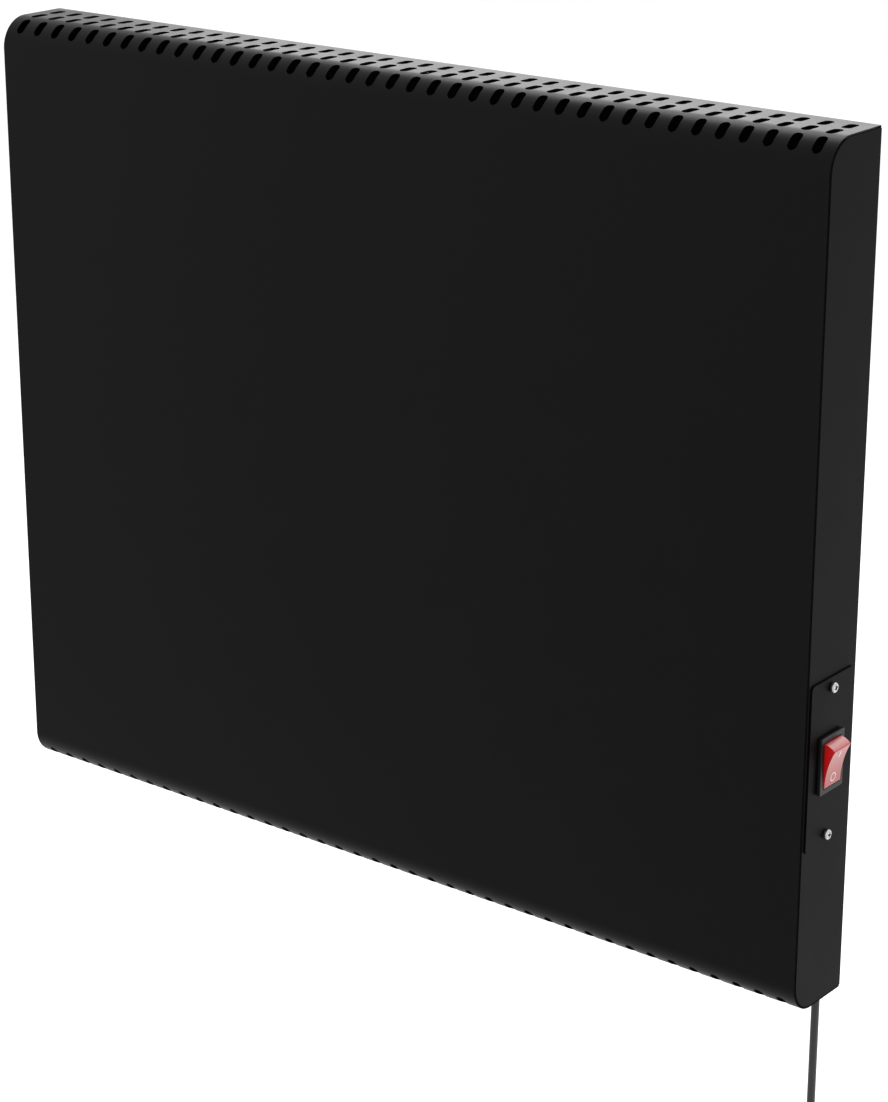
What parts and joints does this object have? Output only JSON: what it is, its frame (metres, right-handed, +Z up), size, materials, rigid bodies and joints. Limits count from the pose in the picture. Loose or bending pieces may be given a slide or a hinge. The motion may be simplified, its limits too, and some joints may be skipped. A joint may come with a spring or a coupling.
{
  "type": "wall panel heater",
  "caption": "Slim wall-hung convector heater: folded sheet cover with slotted top and underside, flat end plates, side rocker switch on a screwed cover plate, wall bracket and mains cord.",
  "frame": {"origin": "middle of the wall bracket's back face, in the plane of the wall", "axes": "+X to the right as seen from the room, +Y into the wall, +Z up"},
  "size_m": [0.6097, 0.065, 0.8162],
  "materials": {
    "black_powder_coat": "semi-matt, finely textured powder coat",
    "zinc_plated_steel": "bright zinc plate",
    "black_plastic": "satin moulding",
    "red_plastic": "glossy, slightly translucent",
    "aluminium": "plain, as rolled or extruded",
    "ceramic": "unglazed",
    "white_plastic": "satin moulding",
    "brass": "plain",
    "cord_sheath": "satin",
    "brown_wire": "satin",
    "blue_wire": "satin",
    "earth_wire": "satin"
  },
  "bodies": {
    "heater": {"back_panel": "black_powder_coat", "back_screw_high_left": "zinc_plated_steel", "back_screw_high_middle": "zinc_plated_steel", "back_screw_high_right": "zinc_plated_steel", "back_screw_low_left": "zinc_plated_steel", "back_screw_low_middle": "zinc_plated_steel", "back_screw_low_right": "zinc_plated_steel", "cord_bushing": "black_plastic", "cord_hank": "cord_sheath", "cord_run": "cord_sheath", "cord_tail": "cord_sheath", "cord_tie": "black_plastic", "cover_screw_lower": "zinc_plated_steel", "cover_screw_upper": "zinc_plated_steel", "cutout_bracket": "zinc_plated_steel", "earth_stud": "brass", "element_insulator_left": "ceramic", "element_insulator_right": "ceramic", "element_support_left": "zinc_plated_steel", "element_support_right": "zinc_plated_steel", "front_panel": "black_powder_coat", "heat_shield": "aluminium", "heating_element": "aluminium", "hook_left": "zinc_plated_steel", "hook_right": "zinc_plated_steel", "hook_rivet_left_inner": "aluminium", "hook_rivet_left_outer": "aluminium", "hook_rivet_right_inner": "aluminium", "hook_rivet_right_outer": "aluminium", "inner_cord": "cord_sheath", "left_end_plate": "black_powder_coat", "plug_body": "black_plastic", "plug_pin_left": "zinc_plated_steel", "plug_pin_right": "zinc_plated_steel", "right_end_plate": "black_powder_coat", "switch_cover_plate": "black_powder_coat", "switch_housing": "black_plastic", "switch_tab_lower_front": "brass", "switch_tab_lower_rear": "brass", "switch_tab_upper_front": "brass", "switch_tab_upper_rear": "brass", "terminal_block": "white_plastic", "thermal_cutout": "black_plastic", "wall_bracket": "zinc_plated_steel", "wall_spacer_left": "black_plastic", "wall_spacer_right": "black_plastic", "wire_earth": "earth_wire", "wire_element_feed": "brown_wire", "wire_live_in": "brown_wire", "wire_live_out": "brown_wire", "wire_neutral_in": "blue_wire", "wire_neutral_out": "blue_wire"},
    "rocker": {"rocker": "red_plastic"}
  },
  "joints": [
    {"name": "rocker_press", "type": "hinge", "parent": "heater", "child": "rocker", "pos_m": [0.3006, -0.0408, -0.26], "axis": [0, -1, 0], "range_deg": [0, 28]}
  ]
}
